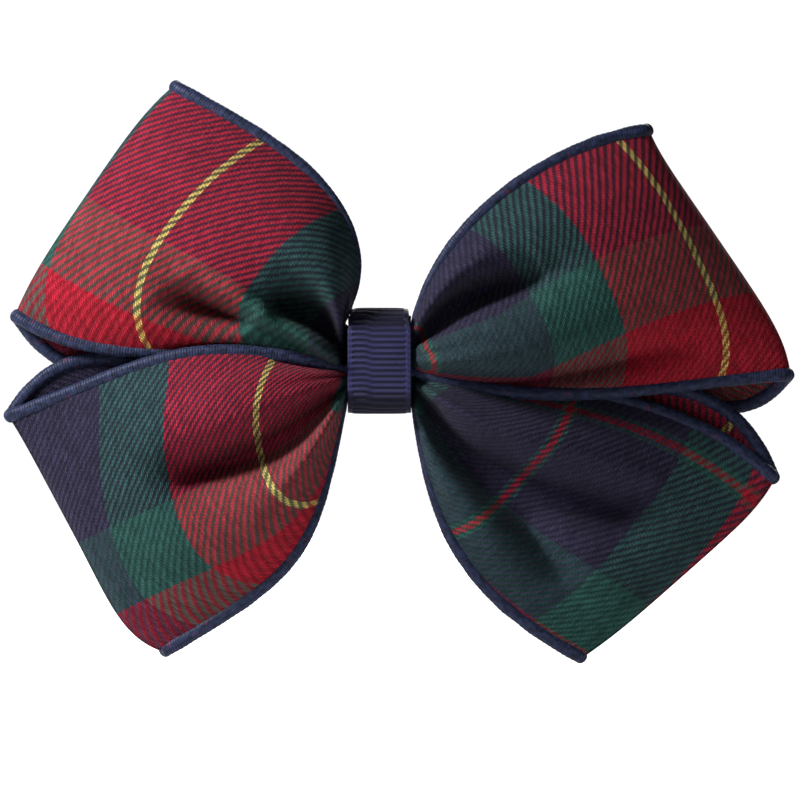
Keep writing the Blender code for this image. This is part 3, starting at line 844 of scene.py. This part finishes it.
def make_edging(name, line, facing):
    """Overlock stitches wound round a strip's edge, as a slightly flattened cord with raised turns."""
    closed = np.concatenate([line, line[:1]])
    steps = np.linalg.norm(np.diff(closed, axis=0), axis=1)
    length = steps.sum()
    place = np.concatenate([[0], np.cumsum(steps)])
    count = int(length / EDGING_STEP)
    wanted = np.arange(count) / count * length
    both = np.concatenate([facing, facing[:1]])
    path = np.column_stack([np.interp(wanted, place, closed[:, i]) for i in range(3)])
    towards = np.column_stack([np.interp(wanted, place, both[:, i]) for i in range(3)]) - path
    along = unit(np.roll(path, -1, axis=0) - np.roll(path, 1, axis=0))
    inwards = unit(towards - (towards * along).sum(1, keepdims=True) * along)
    raised = np.cross(along, inwards)
    out_of_knot = np.clip((np.abs(path[:, 0]) - 4.0) / 7.0, 0, 1)
    radius = lerp(EDGING_R_IN_KNOT, EDGING_R, out_of_knot)
    angles = np.arange(EDGING_SIDES) / EDGING_SIDES * 2 * np.pi
    turns = 0.025 * np.cos(2 * np.pi * wanted[:, None] / EDGING_TURN + angles[None, :])
    lumps = np.array([noise.noise(Vector((w * 0.35, 0.0, 3.0))) for w in wanted])
    size = radius[:, None] * (1 + turns) * (1 + 0.09 * lumps[:, None])
    points = (
        path[:, None]
        + inwards[:, None] * (np.cos(angles) * EDGING_WIDE)[None, :, None] * size[..., None]
        + raised[:, None] * (np.sin(angles) * EDGING_HIGH)[None, :, None] * size[..., None]
    )

    def uv(i, j):
        return i * length / count, j / EDGING_SIDES

    edging = grid_object(name, points, uv, wrap_rows=True, wrap_columns=True)
    return dress(edging, "edging_thread")


# ------------------------------------------------------------------ wrap and lining


def rib_shift(share):
    """How far along the ribs have stepped, at a place from -1 at one selvedge to 1 at the other."""
    return RIB_STEP * RIB_PITCH * ease((share + 0.45) / 0.3)


def ribbon(line, half_width, closed, stepped):
    """Grosgrain along a line: its places across and along it, its normals and its surface's height."""
    width = np.linspace(-half_width, half_width, RIBBON_COLUMNS + 1)
    steps = np.linalg.norm(np.diff(line, axis=0), axis=1)
    place = np.concatenate([[0], np.cumsum(steps)])
    after = np.roll(line, -1, axis=0) if closed else np.vstack([line[1:], line[-1:]])
    before = np.roll(line, 1, axis=0) if closed else np.vstack([line[:1], line[:-1]])
    along = unit(after - before)
    normal = np.column_stack([-along[:, 1], along[:, 0]])
    plain = np.abs(width) > half_width - SELVEDGE
    shift = rib_shift(width / half_width) * stepped
    wave = np.cos(2 * np.pi * (place[:, None] + shift[None, :]) / RIB_PITCH)
    raised = np.where(plain[None, :], SELVEDGE_HEIGHT, RIB_HEIGHT * wave)
    return width, place, normal, raised


def ribbon_column(j):
    """The ribbon's own column for one of its section, which goes over one face and back over the other."""
    count = RIBBON_COLUMNS + 1
    j = j % (2 * count)
    return j if j < count else 2 * count - 1 - j


def make_wrap():
    """The ribbon round the knot: flat over the face, turned sharply above and below it."""
    half = smooth_line(WRAP_LINE, 8)
    line = np.vstack([half, (half * (1, -1))[-2:0:-1]])
    line = evenly(np.vstack([line, line[:1]]), 900)[:-1]
    width, place, normal, raised = ribbon(line, WRAP_HALF, closed=True, stepped=True)
    outward = normal * np.sign((normal * (line - line.mean(0))).sum(1, keepdims=True))
    height = raised + WRAP_THICK / 2
    narrowing = 1 - 0.09 * np.clip((line[:, 1] - 4.5) / 3.0, 0, 1) * (line[:, 0] < -4)
    drawn_in = 0.12 * (width / WRAP_HALF) ** 4
    rows = []
    for sign in (1, -1):
        lift = (height - drawn_in) if sign > 0 else np.full_like(height, -WRAP_THICK / 2) - drawn_in
        y = line[:, :1] + outward[:, :1] * lift
        z = line[:, 1:] + outward[:, 1:] * lift
        x = width[None, :] * narrowing[:, None]
        rows.append(np.stack([x, y, z], axis=-1))
    section = np.concatenate([rows[0], rows[1][:, ::-1]], axis=1)
    length = float(place[-1] + np.linalg.norm(line[0] - line[-1]))

    def uv(i, j):
        across_ribbon = float(width[ribbon_column(j)])
        return i * length / len(line) + float(rib_shift(across_ribbon / WRAP_HALF)), across_ribbon

    wrap = grid_object("centre_wrap_ribbon", section, uv, wrap_rows=True, wrap_columns=True)
    dress(wrap, "grosgrain")
    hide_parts("centre_wrap")


def make_lining():
    """Ribbon folded over the fixed arm's tip."""
    low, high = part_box("clip_lining")
    low, high = low / MM, high / MM
    arm_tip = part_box("clip_fixed_arm")[0].x / MM
    front_y, back_y = low.y + LINING_THICK / 2, high.y - LINING_THICK / 2
    radius = (back_y - front_y) / 2
    middle_y = (front_y + back_y) / 2
    turn = np.radians(-90 - 180 * np.arange(25) / 24)
    fold = np.column_stack([arm_tip + 0.2 + radius * np.cos(turn), middle_y + radius * np.sin(turn)])
    line = np.vstack([[(high.x, front_y)], fold, [(6.0, back_y)]])
    line = evenly(line, 1100)
    half_width = (high.z - low.z) / 2
    width, place, normal, raised = ribbon(line, half_width, closed=False, stepped=False)
    sides = []
    for sign in (1, -1):
        lift = sign * (LINING_THICK / 2 - 0.06 + np.maximum(raised, -0.02) * 0.5)
        x = line[:, :1] + normal[:, :1] * lift
        y = line[:, 1:] + normal[:, 1:] * lift
        z = width[None, :] + 0 * x
        sides.append(np.stack([x, y, z], axis=-1))
    section = np.concatenate([sides[0], sides[1][:, ::-1]], axis=1)

    def uv(i, j):
        return float(place[i]), float(width[ribbon_column(j)]) * WRAP_HALF / half_width

    lining = grid_object("clip_lining_ribbon", section, uv, wrap_columns=True)
    close_ends(lining)
    dress(lining, "grosgrain")
    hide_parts("clip_lining")


# ------------------------------------------------------------------ glue and clip


def make_glue():
    """A pressed-out pad of hot-melt glue with an uneven rim."""
    low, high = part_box("glue_pad")
    centre = (low + high) / 2 / MM
    size = (high - low) / 2 / MM
    bm = bmesh.new()
    bmesh.ops.create_icosphere(bm, subdivisions=5, radius=1.0)
    for vert in bm.verts:
        d = vert.co.normalized()
        rim = math.hypot(d.x, d.z)
        angle = math.atan2(d.z, d.x)
        squareness = (abs(math.cos(angle)) ** 4 + abs(math.sin(angle)) ** 4) ** -0.25
        uneven = 0.93 + 0.07 * noise.noise(Vector((2 * math.cos(angle), 2 * math.sin(angle), 0.3)))
        spread = rim**0.45 * squareness * uneven / max(rim, 1e-6)
        lumps = 1 + 0.12 * noise.noise(d * 3)
        vert.co = Vector(
            (
                centre.x + d.x * spread * size.x,
                centre.y + math.copysign(abs(d.y) ** 0.35, d.y) * size.y * min(lumps, 1.0),
                centre.z + d.z * spread * size.z,
            )
        ) * MM
    mesh = bpy.data.meshes.new("glue_pad_blob")
    bm.to_mesh(mesh)
    bm.free()
    mesh.shade_smooth()
    glue = bpy.data.objects.new("glue_pad_blob", mesh)
    bpy.context.scene.collection.objects.link(glue)
    dress(glue, "hot_melt")
    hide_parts("glue_pad")


def make_spring(joint):
    """The torsion spring: a coil of wire, with one leg along the fixed arm and one along the lever."""
    pivot = Vector(joint["pos_m"]) / MM
    low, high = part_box("clip_spring")
    low_z, high_z = low.z / MM, high.z / MM
    start_z, end_z = low_z + SPRING_WIRE_R, high_z - SPRING_WIRE_R
    count = int(SPRING_TURNS * SPRING_STEPS)
    coil = []
    for i in range(count + 1):
        angle = math.radians(-90) - 2 * math.pi * i / SPRING_STEPS
        x = pivot.x + SPRING_COIL_R * math.cos(angle)
        y = pivot.y + SPRING_COIL_R * math.sin(angle)
        coil.append((x, y, lerp(start_z, end_z, i / count)))
    arm_leg = [(x, y, start_z) for x, y in SPRING_ARM_LEG]
    lever_leg = [(x, y, end_z) for x, y in SPRING_LEVER_LEG]
    first = smooth_line([*arm_leg, coil[0]], 10)[:-1]
    last = smooth_line([coil[-1], *lever_leg], 10)[1:]
    line = np.vstack([first, coil, last])
    along = unit(np.gradient(line, axis=0))
    side = unit(np.cross(along, (0, 0, 1)))
    up = np.cross(side, along)
    angles = np.arange(SPRING_SIDES) / SPRING_SIDES * 2 * np.pi
    rings = line[:, None] + SPRING_WIRE_R * (
        side[:, None] * np.cos(angles)[None, :, None] + up[:, None] * np.sin(angles)[None, :, None]
    )

    def uv(i, j):
        return i * 0.16, j / SPRING_SIDES

    spring = grid_object("clip_spring_coil", rings, uv, wrap_columns=True)
    close_ends(spring)
    spring.data.materials.append(MATERIALS["spring_steel"])
    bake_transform(spring)
    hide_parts("clip_spring")


def dress_cad(node, slot):
    """A better material on a CAD node that is shown as it is."""
    obj = frame["nodes"][node]
    if not obj.material_slots:
        obj.data.materials.append(MATERIALS[slot])
    for material_slot in obj.material_slots:
        material_slot.material = MATERIALS[slot]


# ------------------------------------------------------------------ stage


def make_stage():
    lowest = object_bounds()[0][2]
    bpy.ops.mesh.primitive_plane_add(size=4.0, location=(0, 0, lowest - 0.001))
    floor = bpy.context.object
    floor.name = "floor"
    s = Shader("floor_paper", roughness=0.9)
    s.set(Base_Color=s.mix(s.noise(30.0, 3.0), (0.86, 0.86, 0.86), (0.9, 0.9, 0.9)))
    straight = s.tree.nodes.new("ShaderNodeLightPath").outputs["Is Camera Ray"]
    s.set(Emission_Color=(1.0, 1.0, 1.0), Emission_Strength=straight)
    floor.data.materials.append(s.material)

    world = bpy.data.worlds.new("studio")
    bpy.context.scene.world = world
    world.use_nodes = True
    background = world.node_tree.nodes["Background"]
    background.inputs["Color"].default_value = (1.0, 1.0, 1.0, 1.0)
    seen = world.node_tree.nodes.new("ShaderNodeLightPath")
    strength = world.node_tree.nodes.new("ShaderNodeMapRange")
    world.node_tree.links.new(seen.outputs["Is Camera Ray"], strength.inputs["Value"])
    strength.inputs["To Min"].default_value = 0.035
    strength.inputs["To Max"].default_value = 1.05
    world.node_tree.links.new(strength.outputs[0], background.inputs["Strength"])

    def softbox(name, place, size, power):
        """A round lamp aimed at the bow's middle: its size in metres and its power in watts."""
        light = bpy.data.lights.new(name, "AREA")
        light.shape = "DISK"
        light.size = size
        light.energy = power
        lamp = bpy.data.objects.new(name, light)
        lamp.location = place
        lamp.visible_camera = False
        lamp.rotation_euler = (-Vector(place)).to_track_quat("-Z", "Y").to_euler()
        bpy.context.scene.collection.objects.link(lamp)

    softbox("key", (-0.215, -0.135, 0.165), 0.08, 1.17)
    softbox("fill", (-0.4, -0.9, 0.2), 0.4, 0.16)
    softbox("back", (0.2, 0.9, 0.5), 0.6, 7.0)


def make_camera():
    data = bpy.data.cameras.new("camera")
    camera = bpy.data.objects.new("camera", data)
    bpy.context.scene.collection.objects.link(camera)
    data.sensor_width = 36.0
    data.lens = data.sensor_width * CAMERA_DISTANCE / VIEW_WIDTH
    data.clip_end = 20.0
    low, high = CAD_BOX
    camera.location = (
        (low[0] + high[0]) / 2,
        -CAMERA_DISTANCE,
        (low[2] + high[2]) / 2 - VIEW_DROP,
    )
    camera.rotation_euler = (math.radians(90), 0, 0)
    bpy.context.scene.camera = camera


# ------------------------------------------------------------------ assembly


def main():
    rear, rear_edgings, rear_length = make_strip(
        "rear_strip", LOOPS["upper_left"], LOOPS["lower_right"], REAR_LAYERS
    )
    front, front_edgings, front_length = make_strip(
        "front_strip", LOOPS["lower_left"], LOOPS["upper_right"], FRONT_LAYERS
    )
    make_wrap()
    make_lining()
    make_glue()
    make_spring(frame["joints"][0])
    dress_cad("front_cinch_thread", "cinch_thread")
    dress_cad("rear_cinch_thread", "cinch_thread")
    for node in ("clip_fixed_arm", "clip_lever", "clip_pin"):
        dress_cad(node, "clip_steel")
    make_stage()
    make_camera()
    bpy.context.scene.view_settings.view_transform = "Standard"


main()
